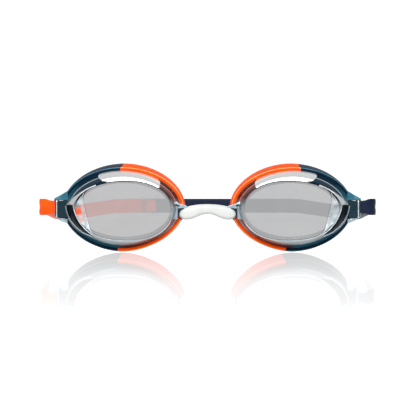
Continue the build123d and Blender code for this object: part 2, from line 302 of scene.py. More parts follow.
def smoke_plastic(name, shine):
    """Smoke-tinted wall: its tint and a metal sheen are painted on the piece, and they paint in its light
    and shade.
    """
    material, nodes, links, shader = new_material(name)
    paint = nodes.new("ShaderNodeAttribute")
    paint.attribute_name = "tint"
    flow = noise(nodes, links, 260.0, 3.0, (1, 1, 2.5))
    drift = spread(nodes, links, flow.outputs["Fac"], 0.75, 1.25)
    mix = nodes.new("ShaderNodeVectorMath")
    mix.operation = "SCALE"
    links.new(paint.outputs["Color"], mix.inputs["Vector"])
    links.new(drift, mix.inputs["Scale"])
    links.new(mix.outputs["Vector"], shader.inputs["Base Color"])
    links.new(paint.outputs["Alpha"], shader.inputs["Alpha"])
    painted_sheen = nodes.new("ShaderNodeAttribute")
    painted_sheen.attribute_name = "painted_sheen"
    links.new(painted_sheen.outputs["Fac"], shader.inputs["Metallic"])
    haze = noise(nodes, links, 900.0, 4.0)
    rough = spread(nodes, links, haze.outputs["Fac"], 0.05, 0.13)
    links.new(rough, shader.inputs["Roughness"])
    shader.inputs["Coat Weight"].default_value = shine
    shader.inputs["Coat Roughness"].default_value = 0.03
    shader.inputs["Coat IOR"].default_value = 1.5
    shader.inputs["Specular IOR Level"].default_value = 0.3
    shader.inputs["IOR"].default_value = 1.15
    return material


def blend_tint(knots, at):
    """Tint (red, green, blue, opacity, painted metal sheen) at a place between listed ones."""
    if at <= knots[0][0]:
        return knots[0][1]
    for (a, tint_a), (b, tint_b) in zip(knots, knots[1:]):
        if at <= b:
            share = (at - a) / (b - a)
            return tuple(x + (y - x) * share for x, y in zip(tint_a, tint_b))
    return knots[-1][1]


def paint(bm, verts, rule):
    """Paints tint and painted metal sheen on points; the rule is a tint or gives one for a place."""
    tint_layer = bm.verts.layers.float_color.get("tint") or bm.verts.layers.float_color.new("tint")
    painted_sheen_layer = bm.verts.layers.float.get("painted_sheen") or bm.verts.layers.float.new("painted_sheen")
    for vert in verts:
        tint = rule(vert.co) if callable(rule) else rule
        vert[tint_layer] = tint[:4]
        vert[painted_sheen_layer] = tint[4]


FRAME_CLEAR = smoke_plastic("smoke_blue_polycarbonate", 0.08)

# Painted tints (red, green, blue, opacity, metal sheen) for the clear plastic, standing in for its light
# and shade. The teal and deep teal are the navy gasket seen through, lit and in painted shade. The brown
# and the lit red-brown are the orange gasket seen through, in painted shade and lit. The pale, the grey and
# the glint paint reflections and highlights. The near-black paints deep shade.
DEEP_TEAL = (0.004, 0.020, 0.040, 0.97, 0.0)
TEAL = (0.012, 0.085, 0.130, 0.97, 0.0)
BROWN = (0.075, 0.022, 0.018, 0.97, 0.0)
LIT_RED_BROWN = (0.30, 0.07, 0.04, 0.95, 0.0)
PALE = (0.62, 0.68, 0.71, 0.86, 0.75)
GREY = (0.34, 0.38, 0.40, 0.80, 0.6)
GLINT = (0.80, 0.90, 0.95, 0.95, 0.7)
SHADE_BLACK = (0.004, 0.007, 0.010, 0.97, 0.0)

# Tints round the wall by angle, 0 at the temple and 90 at the brow, with its light and shade painted in
INNER_TINTS = [
    (-180, GREY), (-150, GREY), (-125, PALE), (-60, PALE), (-25, GREY), (0, GREY),
    (12, DEEP_TEAL), (80, DEEP_TEAL), (100, BROWN), (168, BROWN), (180, GREY)
]
OUTER_TINTS = [
    (-180, GREY), (-160, GREY), (-140, LIT_RED_BROWN), (-95, BROWN), (-82, TEAL), (-30, TEAL), (-12, GREY),
    (0, GREY), (12, TEAL), (30, DEEP_TEAL), (80, DEEP_TEAL), (100, BROWN), (168, BROWN), (180, GREY)
]


def wall_angle(place):
    """Angle in degrees round the wall."""
    return math.degrees(math.atan2(place.z + 0.8, place.x - 0.5))


def wall_tint(place):
    """Tint of the cup's wall, with its light and shade painted in: pale and silvered below as a painted
    reflection, deep above from the smoke tint and painted shade, the gasket's colour behind.
    """
    angle = wall_angle(place)
    share = min(max((place.y + 8.8) / 5.0, 0.0), 1.0)
    inner, outer = blend_tint(INNER_TINTS, angle), blend_tint(OUTER_TINTS, angle)
    return tuple(a + (b - a) * share for a, b in zip(inner, outer))


def arc_highlight_tint(place):
    """A painted highlight: the fine bright line where the moulding step in the wall catches the light."""
    angle = wall_angle(place)
    lit = 8 < angle < 62 or 118 < angle < 174 or -80 < angle < -25
    return GLINT if lit else wall_tint(place)


def cup_skin(bm):
    """Shell of the cup: rim, tapered wall, flange, and the wall's inside."""

    def wall(share):
        return between(rim_line(0.15), flange_line(-0.75), share), -9.7 + 7.4 * share

    inner_wall = between(rim_line(-FRAME_WALL), flange_line(-1.2 - FRAME_WALL), 0.5)
    stations = [
        (rim_line(-1.9), -9.0),
        (rim_line(-0.95), -9.0),
        (rim_line(-0.9), -9.8),
        (rim_line(-0.55), -10.1),
        (rim_line(-0.1), -10.05),
        wall(0.0), wall(0.12), wall(0.3), wall(0.5), wall(0.56), wall(0.62), wall(0.8), wall(1.0),
        (flange_line(-0.4), -2.2),
        (flange_line(-0.2), -1.9),
        (flange_line(-0.2), FLANGE_BACK),
        (flange_line(-2.4), FLANGE_BACK),
        (flange_line(-3.0), -0.8),
        (inner_wall, -5.0),
    ]
    ring_body(bm, stations)
    # The wall's light and shade are painted on its points: a pale silvered reflection below, dark shade
    # above.
    paint(bm, bm.verts, wall_tint)
    # The ring along the moulding step gets a painted highlight line.
    crest = [vert for vert in bm.verts if abs(vert.co.y - (-9.7 + 7.4 * 0.56)) < 0.01]
    paint(bm, crest, arc_highlight_tint)


def tinted_plate(bm, outline, front, back, tint, break_edge=0.25):
    """Flat plate with one tint all over."""
    before = set(bm.verts)
    plate(bm, outline, front, back, break_edge)
    paint(bm, [vert for vert in bm.verts if vert not in before], tint)


def tinted_bar(bm, at, radius, low, high, tint):
    """Upright round bar with one tint all over."""
    before = set(bm.verts)
    bar_shape(bm, at, radius, low, high)
    paint(bm, [vert for vert in bm.verts if vert not in before], tint)


def nose_post(bm):
    """Block beside the bridge's end, the ear over it, and the pin in it, with thin bars and sheets that
    paint their highlights and shade.
    """
    x, y, z = PIN_LEVEL
    post = [
        (12.8, z - 5.3), (15.4, z - 5.3), (15.7, z - 1.0), (15.4, z + 1.5), (13.4, z + 1.9), (12.7, z + 0.6)
    ]
    tinted_plate(bm, post, y - 2.4, y + 3.4, (0.36, 0.42, 0.47, 0.86, 0.35), 0.35)
    # A cyan bar paints the highlight down the post's wall, and a dark bar beside it paints a line of shade.
    tinted_bar(bm, (14.35, y - 2.35), 0.32, z - 4.6, z + 0.6, (0.12, 0.52, 0.66, 1.0, 0.2))
    tinted_bar(bm, (15.3, y - 2.2), 0.22, z - 4.4, z + 1.0, (0.03, 0.05, 0.08, 1.0, 0.0))
    ear = [
        (8.6, z - 0.62), (15.0, z - 0.62), (15.6, z + 2.5), (12.6, z + 1.7), (9.2, z + 0.6), (8.2, z + 0.1)
    ]
    # The ear's pale tint is its clear plastic's colour, lightened as a painted highlight.
    tinted_plate(bm, ear, y - 1.6, y + 1.7, (0.40, 0.52, 0.60, 0.88, 0.4), 0.25)
    # A thin sheet paints the highlight along the ear's top, and a black sheet below it paints shade.
    glint = [(12.0, z + 0.9), (15.6, z + 2.2), (15.9, z + 2.8), (12.8, z + 2.0)]
    tinted_plate(bm, glint, y - 2.2, y - 1.2, GLINT, 0.1)
    shade = [(12.2, z + 0.25), (15.2, z + 0.9), (15.2, z + 1.7), (12.2, z + 0.75)]
    tinted_plate(bm, shade, y - 2.5, y - 1.2, SHADE_BLACK, 0.1)
    # A dark crescent sheet paints the shade in the socket round the bridge's lobe.
    arc = [math.radians(-68 + 148 * step / 12) for step in range(13)]
    hug = [(9.75 + 3.25 * math.cos(a), z - 3.05 + 2.75 * math.sin(a)) for a in arc]
    hug += [(9.55 + 2.95 * math.cos(a), z - 3.05 + 2.4 * math.sin(a)) for a in reversed(arc)]
    tinted_plate(bm, hug, y - 1.9, y - 1.2, (0.010, 0.035, 0.060, 1.0, 0.0), 0.08)
    tinted_bar(bm, (x, y), PIN_RADIUS, z - 4.1, z - 0.2, GREY)


def temple_arm(bm):
    """Arm beyond the flange: a clear window frame that ends in the strap bar, with light and shade painted
    on its plates and bars.
    """
    z = CUP_CENTRE.z
    x, y = bar_level.x, bar_level.y
    upper = [
        (57.6, z + 8.2), (61.5, z + 7.0), (64.2, z + 5.4), (67.2, z + 3.7),
        (67.2, z + 2.9), (63.2, z + 2.9), (60.2, z + 3.2)
    ]
    lower = [
        (57.6, z - 8.4), (61.4, z - 7.3), (64.0, z - 6.3), (66.4, z - 5.0), (67.2, z - 4.0),
        (67.2, z - 2.9), (63.2, z - 2.9), (60.2, z - 3.4)
    ]
    root = [
        (59.6, z - 6.6), (62.7, z - 5.4), (63.1, z - 2.6), (63.1, z + 2.6), (62.7, z + 5.4), (59.6, z + 6.4)
    ]
    # Painted light and shade: the lower plate pale and silvered as a painted reflection, the root dark with
    # painted shade.
    teal_edge = (0.07, 0.25, 0.33, 0.88, 0.2)
    tinted_plate(bm, upper, y - 1.4, y + 1.2, teal_edge, 0.3)
    tinted_plate(bm, lower, y - 1.4, y + 1.2, (0.42, 0.50, 0.55, 0.80, 0.5), 0.3)
    tinted_plate(bm, root, y - 2.2, y + 1.2, (0.020, 0.065, 0.090, 0.97, 0.1), 0.35)
    # A dark block paints the shade in the strap's slot.
    strap_slot_shade = [(61.4, z - 5.3), (65.4, z - 4.7), (65.5, z + 2.6), (61.3, z + 3.0)]
    tinted_plate(bm, strap_slot_shade, y - 5.4, y - 2.95, (0.012, 0.030, 0.042, 0.97, 0.0), 0.15)
    # The shoulder above is teal and the foot below pale and silvered, lighter below as a painted
    # reflection.
    shoulder = [(60.6, z + 3.0), (63.8, z + 2.9), (63.6, z + 5.2), (60.9, z + 7.0)]
    tinted_plate(bm, shoulder, y - 5.2, y - 2.4, (0.035, 0.150, 0.210, 0.95, 0.2), 0.25)
    foot = [(60.9, z - 7.3), (63.8, z - 6.0), (64.0, z - 4.8), (61.0, z - 5.3)]
    tinted_plate(bm, foot, y - 5.2, y - 2.4, (0.40, 0.50, 0.56, 0.90, 0.5), 0.25)
    # A pale bar paints the highlight on the bar's edge, and a dark bar beside it a line of shade.
    tinted_bar(bm, (65.85, y - 3.2), 0.28, z - 4.6, z + 2.7, (0.72, 0.78, 0.82, 1.0, 0.3))
    tinted_bar(bm, (66.45, y - 3.0), 0.25, z - 4.3, z + 2.9, (0.05, 0.06, 0.08, 1.0, 0.0))
    tinted_bar(bm, (x, y), BAR_RADIUS, z - 3.6, z + 3.6, GREY)


for side_name, side in SIDES:
    bm = bmesh.new()
    cup_skin(bm)
    bm.transform(LEFT_CUP)
    nose_post(bm)
    temple_arm(bm)
    cup = finish_piece(bm, side_name + "_cup_frame", LEVEL_TO_REST @ mirrored(side), [FRAME_CLEAR])
    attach(cup, side_name + "_cup")
    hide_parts(side_name + "_frame")


# ---------------------------------------------------------------------------
# Lenses. Each is a flat polycarbonate window with a bevelled edge, silvered
# from the front by a vacuum-deposited mirror coat, and bonded into the rim of
# its cup. The coat runs over the brow facet and over the temple wing.
# ---------------------------------------------------------------------------
WINDOW_CUT = 17.4
WINDOW_CUT_ANGLE = math.radians(-13.1)
BROW_FROM, BROW_TO = math.radians(52), math.radians(147)


def window_line(grow=0.0):
    """Window outline: a rounded oval with its temple side cut off at a slant."""
    centre = (-2.5, -1.5)
    body = oval(centre, 22.6, 19.1, 12.45, 2.2, grow)

    def at(angle):
        u, v = body(angle)
        radius = math.hypot(u - centre[0], v - centre[1])
        facing = math.cos(angle - WINDOW_CUT_ANGLE)
        if facing > 0.15:
            cut = (WINDOW_CUT + grow) / facing
            sharp = 14.0
            radius = (radius ** -sharp + cut ** -sharp) ** (-1.0 / sharp)
        return centre[0] + radius * math.cos(angle), centre[1] + radius * math.sin(angle)

    return at


def mirror_coat(name, tone, see_through, metal=1.0):
    """Silver mirror coat: a thin metal layer that lets a little light through."""
    material, nodes, links, shader = new_material(name)
    shader.inputs["Metallic"].default_value = metal
    shader.inputs["Alpha"].default_value = see_through
    cloud = noise(nodes, links, 90.0, 2.0)
    darker = tuple(value * 0.96 for value in tone)
    two_tone(nodes, links, shader, cloud.outputs["Fac"], darker, tone)
    haze = noise(nodes, links, 700.0, 4.0)
    rough = spread(nodes, links, haze.outputs["Fac"], 0.03, 0.08)
    links.new(rough, shader.inputs["Roughness"])
    return material


WINDOW_COAT = mirror_coat("silver_mirror_coat", (0.66, 0.665, 0.67), 0.86)
# The facets carry the window's mirror coat, made near-white where they face the overhead light: a painted
# highlight.
FACET_HIGHLIGHT_COAT = mirror_coat("silver_coat_painted_highlight", (0.90, 0.91, 0.92), 0.97, 0.6)
SLOT_WINDOW, SLOT_CLEAR, SLOT_FACET, SLOT_SHADE = range(4)
FACET_THICK = 0.12
FACET_STAND_OFF = 0.8
FACET_STEPS = 6

# Black satin sheet that paints the deep shade at the temple end, where the navy gasket lies behind
SHADE_SHEET_BLACK, nodes, links, shader = new_material("painted_shade_black")
cloud = noise(nodes, links, 150.0, 3.0)
two_tone(nodes, links, shader, cloud.outputs["Fac"], (0.003, 0.005, 0.008), (0.007, 0.011, 0.016))
grain = noise(nodes, links, 1500.0, 4.0)
links.new(spread(nodes, links, grain.outputs["Fac"], 0.30, 0.45), shader.inputs["Roughness"])
shader.inputs["Specular IOR Level"].default_value = 0.08
shader.inputs["IOR"].default_value = 1.2

# Tints round the narrow ring between the window and the rim, by angle: painted glints and grey sheen,
# painted shade across the top, and the colours seen through. The strap shows through the ring's temple end:
# orange on the right, navy on the left.
STRAP_EDGE, STRAP_SEEN = (0.75, 0.30, 0.20, 1.0, 0.2), (0.78, 0.11, 0.04, 1.0, 0.0)
NAVY_SEEN = {STRAP_EDGE: (0.36, 0.40, 0.42, 0.9, 0.4), STRAP_SEEN: (0.55, 0.60, 0.63, 0.9, 0.5)}
SURROUND_TINTS = [
    (-180, PALE), (-45, PALE), (-32, GLINT), (-26, GREY), (-20, GLINT), (-16, STRAP_EDGE),
    (-11, GLINT), (-7, STRAP_SEEN), (0, STRAP_SEEN), (4, GREY), (9, GLINT),
    (20, GREY), (26, SHADE_BLACK), (95, SHADE_BLACK), (105, BROWN), (165, BROWN), (174, GREY), (180, PALE)
]
# Tints along the window's bevelled edge, by angle: painted shade across the top, grey painted sheen
# elsewhere.
EDGE_TINTS = [
    (-180, GREY), (-120, GREY), (-35, (0.20, 0.22, 0.24, 0.95, 0.4)), (-10, GREY), (10, GREY), (22, SHADE_BLACK),
    (110, SHADE_BLACK), (150, (0.16, 0.19, 0.22, 0.95, 0.3)), (180, GREY)
]


def surround_tint(place, knots):
    """Tint round the window, painted with its light and shade: its bevelled edge, the pale painted
    highlight along the temple end, or the listed ring.
    """
    angle = wall_angle(place)
    if place.y < -10.1:
        return blend_tint(EDGE_TINTS, angle)
    if place.y < -9.89 and -45 < angle < 24:
        return PALE
    return blend_tint(knots, angle)


def window_plate(bm, side):
    """The window itself, from its flat front to its flat back."""
    stations = [
        (window_line(0.0), CUP_FRONT),
        (window_line(0.02), CUP_FRONT),
        (window_line(0.3), -10.25),
        (window_line(0.34), -10.05),
        (window_line(0.8), -9.95),
        (between(window_line(0.8), rim_line(-0.98), 0.3), -9.9),
        (between(window_line(0.8), rim_line(-0.98), 0.4), -9.88),
        (between(window_line(0.8), rim_line(-0.98), 0.8), -9.8),
        (rim_line(-0.98), -9.75),
        (rim_line(-0.98), -9.1),
        (rim_line(-2.6), -9.1),
    ]
    front, back, _ = ring_body(bm, stations, closed=False, material=[SLOT_CLEAR] * 10)
    left_side = side == LEFT
    knots = [(angle, NAVY_SEEN.get(tint, tint) if left_side else tint) for angle, tint in SURROUND_TINTS]
    paint(bm, bm.verts, lambda place: surround_tint(place, knots))
    paint(bm, [vert for vert in bm.verts if vert.co.y > -9.2], (0.80, 0.85, 0.90, 0.04, 0.0))
    for face in cap(bm, front):
        face.material_index = SLOT_WINDOW
    for face in cap(bm, back):
        face.material_index = SLOT_CLEAR


def brow_facet(bm):
    """Silvered patch over the rim and up the upper wall of the cup, with rounded ends; its near-white coat
    paints the overhead light's reflection.
    """
    grid = bmesh.ops.create_grid(bm, x_segments=36, y_segments=16, size=1.0)["verts"]
    lines = ((window_line(0.36), -10.4), (rim_line(0.5), -11.0), (flange_line(-0.3), -2.3))
    for vert in grid:
        along, across = vert.co.x, (vert.co.y + 1) / 2
        ends = 1.0 - 0.10 * abs(2 * across - 1) ** 4
        angle = (BROW_FROM + BROW_TO) / 2 - along * ends * (BROW_TO - BROW_FROM) / 2
        shares = ((1 - across) ** 2, 2 * across * (1 - across), across ** 2)
        places = [(*line(angle), depth) for line, depth in lines]
        u, v, w = (sum(share * place[axis] for share, place in zip(shares, places)) for axis in range(3))
        vert.co = (u, w, v)
    faces = list({face for vert in grid for face in vert.link_faces})
    for face in faces:
        face.material_index = SLOT_FACET
    bmesh.ops.recalc_face_normals(bm, faces=faces)
    bmesh.ops.solidify(bm, geom=faces, thickness=FACET_THICK)


def facet_strip(bm, rows, slot, tint):
    """Thin strip of facets between rows of points, laid just in front of the wall."""
    before = set(bm.verts)
    lines = []
    for row in rows:
        places = [(u, max(min(wall_depth(u, v) - FACET_STAND_OFF, -3.1), -10.45), v) for u, v in row]
        lines.append([bm.verts.new(place) for place in places])
    edges = [[bm.edges.new(pair) for pair in zip(line, line[1:])] for line in lines]
    faces = []
    for first, second in zip(edges, edges[1:]):
        faces += bmesh.ops.bridge_loops(bm, edges=first + second)["faces"]
    for face in faces:
        face.material_index = slot
    bmesh.ops.recalc_face_normals(bm, faces=faces)
    bmesh.ops.solidify(bm, geom=faces, thickness=FACET_THICK)
    paint(bm, [vert for vert in bm.verts if vert not in before], tint)


def part_way(row_a, row_b, share):
    """Row of points part of the way from one row to another."""
    return [(a + (c - a) * share, b + (d - b) * share) for (a, b), (c, d) in zip(row_a, row_b)]


def temple_wing(bm):
    """Silvered facet that runs from the window's upper corner out to the arm; its near-white coat paints
    the overhead light's reflection.
    """
    inner = [(10.9, 9.1), (13.2, 8.3), (15.3, 7.2), (17.2, 5.9), (18.9, 4.3), (20.1, 2.5), (20.9, 0.9)]
    outer = [(11.1, 9.6), (13.3, 8.7), (15.6, 7.6), (18.1, 6.2), (20.9, 4.4), (23.4, 2.6), (25.7, 1.0)]
    rows = [part_way(inner, outer, step / FACET_STEPS) for step in range(FACET_STEPS + 1)]
    facet_strip(bm, rows, SLOT_FACET, PALE)


def temple_crescent(bm):
    """Black sheet below the wing that paints deep shade there, with a painted pale highlight line along
    each of its edges.
    """
    inner = [
        (21.3, 0.8), (20.9, -1.0), (20.3, -2.8), (19.4, -4.9), (18.0, -7.2), (15.8, -9.7), (12.9, -12.0)
    ]
    outer = [
        (25.7, 0.8), (25.3, -1.3), (24.4, -3.5), (23.0, -5.9), (20.8, -8.4), (17.6, -10.8), (13.1, -12.4)
    ]
    rows = [part_way(inner, outer, step / FACET_STEPS) for step in range(FACET_STEPS + 1)]
    facet_strip(bm, rows, SLOT_SHADE, SHADE_BLACK)
    # Thin pale strips paint highlights along the black sheet's edges.
    pale_in = [[(u - reach, v) for u, v in inner] for reach in (0.5, 0.05)]
    facet_strip(bm, pale_in, SLOT_CLEAR, GLINT)
    pale_out = [[(u + reach, v - reach) for u, v in outer] for reach in (0.05, 0.55)]
    facet_strip(bm, pale_out, SLOT_CLEAR, (0.50, 0.62, 0.70, 0.95, 0.4))


for side_name, side in SIDES:
    bm = bmesh.new()
    window_plate(bm, side)
    brow_facet(bm)
    temple_wing(bm)
    temple_crescent(bm)
    bm.transform(LEFT_CUP)
    lens = finish_piece(
        bm, side_name + "_mirror_lens", LEVEL_TO_REST @ mirrored(side),
        [WINDOW_COAT, FRAME_CLEAR, FACET_HIGHLIGHT_COAT, SHADE_SHEET_BLACK], 20.0
    )
    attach(lens, side_name + "_cup")
    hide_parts(side_name + "_lens")


# ---------------------------------------------------------------------------
# Gaskets. Each is one soft silicone skirt moulded on to the flange in two
# shots: orange on the nose side, dark navy on the temple side. A bead holds
# the flange, a fine ridge runs round it, and the skirt flares to a thin lip.
# ---------------------------------------------------------------------------
SEAMS = {"left": (1.5, 10.7), "right": (2.5, -2.0)}


def lip_line(grow=0.0):
    """Lip outline, a little more pointed below the middle than above it."""
    upper = oval((2.5, -0.25), 27.35, 27.35, 19.45, 1.93, grow)
    lower = oval((2.5, -0.25), 27.35, 27.35, 19.25, 1.77, grow)
    return lambda angle: upper(angle) if math.sin(angle) > 0 else lower(angle)


def gasket_skin(bm):
    """Closed profile of the whole gasket, as rings from the bead to the lip."""
    stations = [
        (flange_line(-0.05), -0.1),
        (flange_line(-0.05), -1.9),
        (flange_line(-0.25), -2.0),
        (flange_line(-0.2), -2.25),
        (flange_line(0.1), -2.35),
        (flange_line(0.6), -2.15),
        (flange_line(0.9), -1.75),
        (flange_line(1.02), -1.62),
        (flange_line(1.2), -1.45),
        (flange_line(1.2), -1.2),
        (flange_line(1.05), -0.8),
        (flange_line(1.15), 0.2),
        (between(flange_line(1.4), lip_line(0.1), 0.35), 2.4),
        (between(flange_line(1.4), lip_line(0.1), 0.68), 4.8),
        (between(flange_line(1.4), lip_line(0.1), 0.9), 7.4),
        (lip_line(0.0), 9.2),
        (lip_line(-0.1), 9.75),
        (lip_line(-0.45), 10.0),
        (lip_line(-1.1), 9.9),
        (lip_line(-1.7), 9.2),
        (between(flange_line(-2.6), lip_line(-1.8), 0.7), 6.8),
        (between(flange_line(-2.6), lip_line(-1.8), 0.35), 3.6),
        (flange_line(-3.9), 0.7),
        (flange_line(-4.2), 0.0),
    ]
    # the ridge along the bead is given a lighter colour, a painted highlight where it catches the overhead
    # light
    ring_body(bm, stations, material=[1 if number in (6, 7) else 0 for number in range(len(stations))])


def keep_half(bm, seam, keep_temple):
    """Cuts the gasket at its colour joint and closes the cut."""
    place, lean = seam
    normal = Vector((math.cos(math.radians(lean)), 0, -math.sin(math.radians(lean))))
    cut = bmesh.ops.bisect_plane(
        bm, geom=bm.verts[:] + bm.edges[:] + bm.faces[:], plane_co=Vector((place, 0, 0)),
        plane_no=normal, clear_inner=keep_temple, clear_outer=not keep_temple
    )["geom_cut"]
    edges = [item for item in cut if isinstance(item, bmesh.types.BMEdge)]
    bmesh.ops.holes_fill(bm, edges=edges, sides=0)


def soft_silicone(name, colour_a, colour_b, rough_low, rough_high, grain=1800.0, shine=0.3):
    """Moulded silicone: a satin skin with fine grain and a slight drift of colour."""
    material, nodes, links, shader = new_material(name)
    drift = noise(nodes, links, 120.0, 3.0)
    two_tone(nodes, links, shader, drift.outputs["Fac"], colour_a, colour_b)
    skin = noise(nodes, links, grain, 5.0)
    rough = spread(nodes, links, skin.outputs["Fac"], rough_low, rough_high)
    links.new(rough, shader.inputs["Roughness"])
    relief(nodes, links, shader, skin.outputs["Fac"], 0.12, 0.00006)
    shader.inputs["Specular IOR Level"].default_value = shine
    shader.inputs["IOR"].default_value = 1.41
    return material


ORANGE = soft_silicone("orange_silicone", (1.0, 0.065, 0.0), (1.0, 0.095, 0.0), 0.45, 0.58, shine=0.04)
NAVY = soft_silicone("navy_silicone", (0.003, 0.008, 0.020), (0.005, 0.014, 0.032), 0.40, 0.52, shine=0.07)
# Lighter copies of the two silicones paint the highlight along the ridge.
ORANGE_RIDGE_HIGHLIGHT = soft_silicone("orange_ridge_highlight", (1.0, 0.36, 0.12), (1.0, 0.46, 0.20), 0.25, 0.4)
NAVY_RIDGE_HIGHLIGHT = soft_silicone("navy_ridge_highlight", (0.03, 0.16, 0.25), (0.06, 0.26, 0.38), 0.25, 0.4)

for side_name, side in SIDES:
    for part_name, temple in (("nose", False), ("temple", True)):
        bm = bmesh.new()
        gasket_skin(bm)
        keep_half(bm, SEAMS[side_name], temple)
        bm.transform(LEFT_CUP)
        name = f"{side_name}_gasket_{part_name}"
        skins = [NAVY, NAVY_RIDGE_HIGHLIGHT] if temple else [ORANGE, ORANGE_RIDGE_HIGHLIGHT]
        half = finish_piece(bm, name + "_skirt", LEVEL_TO_REST @ mirrored(side), skins, 50.0)
        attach(half, side_name + "_cup")
        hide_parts(f"{name}_side")


# ---------------------------------------------------------------------------
# Nose bridge. A soft white silicone strip, moulded in one piece, arched over
# the nose, with a rounded lobe at each end that slips over the cup's pin.
# ---------------------------------------------------------------------------
BRIDGE_END = 12.15
BRIDGE_TOP_MIDDLE, BRIDGE_TOP_END = 1.25, -0.85
BRIDGE_UNDER_MIDDLE, BRIDGE_UNDER_END = -2.9, -5.35
BRIDGE_HALF_DEPTH = 1.95
BRIDGE_STEPS = 40
SECTION_POINTS = 32


def bridge_section(x):
    """Top, underside and half depth of the bridge at a distance from the middle."""
    share = abs(x) / BRIDGE_END
    top = BRIDGE_TOP_MIDDLE + (BRIDGE_TOP_END - BRIDGE_TOP_MIDDLE) * share ** 2.2
    lobe = min(abs(x) / 8.9, 1.0)
    drop = 0.5 - 0.5 * math.cos(math.pi * lobe)
    under = BRIDGE_UNDER_MIDDLE + (BRIDGE_UNDER_END - BRIDGE_UNDER_MIDDLE) * drop
    half_height = (top - under) / 2
    middle = (top + under) / 2
    reach = max(abs(x) - (BRIDGE_END - half_height), 0.0) / half_height
    rounding = math.sqrt(max(1.0 - reach ** 2, 0.0))
    half_depth = BRIDGE_HALF_DEPTH * (0.35 + 0.65 * rounding) * (1 + 0.18 * lobe ** 4)
    return middle, half_height * rounding, half_depth


def bridge_skin(bm):
    """Skins the bridge through upright sections from one end to the other."""
    layer = bm.verts.layers.float.new("turn")
    first = bmesh.ops.create_circle(bm, cap_ends=False, radius=1.0, segments=SECTION_POINTS)["verts"]
    for vert in first:
        vert[layer] = math.atan2(vert.co.y, vert.co.x)
    edges = list({edge for vert in first for edge in vert.link_edges})
    start_edges = edges

    def settle(verts, x):
        middle, half_height, half_depth = bridge_section(x)
        for vert in verts:
            c, s = math.cos(vert[layer]), math.sin(vert[layer])
            y = math.copysign(abs(c) ** 0.7, c) * half_depth
            z = math.copysign(abs(s) ** 0.8, s) * half_height
            vert.co = (x, PIN_LEVEL.y + y, PIN_LEVEL.z + middle + z)

    def place(step):
        # closer sections towards the rounded ends
        return -BRIDGE_END * 0.9995 * math.cos(math.pi * step / BRIDGE_STEPS)

    settle(first, place(0))
    for step in range(1, BRIDGE_STEPS + 1):
        verts, edges, _ = extrude_ring(bm, edges)
        settle(verts, place(step))
    cap(bm, start_edges)
    cap(bm, edges)


WHITE = soft_silicone("white_silicone", (0.60, 0.62, 0.60), (0.66, 0.68, 0.65), 0.32, 0.46)

bm = bmesh.new()
bridge_skin(bm)
bridge = finish_piece(bm, "soft_nose_bridge", LEVEL_TO_REST, [WHITE], 60.0)
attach(bridge, "bridge")
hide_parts("nose_bridge")


# ---------------------------------------------------------------------------
# Head strap. Two flat silicone bands cut from moulded strip, orange on the
# wearer's right and a longer navy one on the left. Each folds round the bar
# of its arm, and has a shallow groove along its outer face.
# ---------------------------------------------------------------------------
STRAP_WIDTH, STRAP_THICK = 7.2, 1.5
LOOP_HALF = 73.4
LOOP_BACK = 128.0
FRONT_BEND, REAR_BEND = 4.4, 26.0
LEFT_END, RIGHT_END = -39.1, 26.9
LAYER_STEP = 1.7
FOLD_RADIUS = 1.88
STRAP_POINTS = 40
STRAP_GRAIN, STRAP_SHINE = 1400.0, 0.1

# The sag grows to its full depth over these stretches: back from the arms, and
# out from the middle, where it starts beyond the clip's travel
SAG = 3.0
SAG_FROM_BACK, SAG_OVER_BACK = 20.0, 68.0
SAG_FROM_SIDE, SAG_OVER_SIDE = 43.0, 27.0


def walk(start, heading, moves):
    """Points and headings along straight runs and bends, in plan."""
    spots = [(Vector(start), heading)]
    at = Vector(start)
    for kind, length, turn in moves:
        steps = max(2, int(abs(turn) / math.radians(6))) if turn else max(1, int(length / 6))
        for _ in range(steps):
            heading += turn / steps / 2
            hop = length / steps
            at = at + Vector((math.cos(heading), math.sin(heading))) * hop
            heading += turn / steps / 2
            spots.append((at.copy(), heading))
    return spots


def strap_route(layer, tail_x):
    """Plan of the left strap from its fold at the bar to its free end."""
    quarter = math.pi / 2
    back = LOOP_BACK + layer * LAYER_STEP / 2
    start = (bar_level.x + 0.4, bar_level.y + FOLD_RADIUS)
    run_out = LOOP_HALF - FRONT_BEND - bar_level.x - 0.4
    return walk(start, math.pi, [
        ("fold in", 0.4, 0.0),
        ("round the bar", math.pi * FOLD_RADIUS, math.pi),
        ("leave the bar", run_out + 0.4, 0.0),
        ("front bend", FRONT_BEND * quarter, quarter),
        ("side", back - REAR_BEND - (bar_level.y - FOLD_RADIUS + FRONT_BEND), 0.0),
        ("rear bend", REAR_BEND * quarter, quarter),
        ("rear", LOOP_HALF - REAR_BEND - tail_x, 0.0),
    ])


def strap_height(spot):
    """Height of the strap's middle: it sags at the sides behind the arms."""
    back = min(max((spot.y - SAG_FROM_BACK) / SAG_OVER_BACK, 0.0), 1.0)
    aside = min(max((abs(spot.x) - SAG_FROM_SIDE) / SAG_OVER_SIDE, 0.0), 1.0)
    share = min(back, aside)
    return PIN_LEVEL.z - SAG * share * share * (3 - 2 * share)


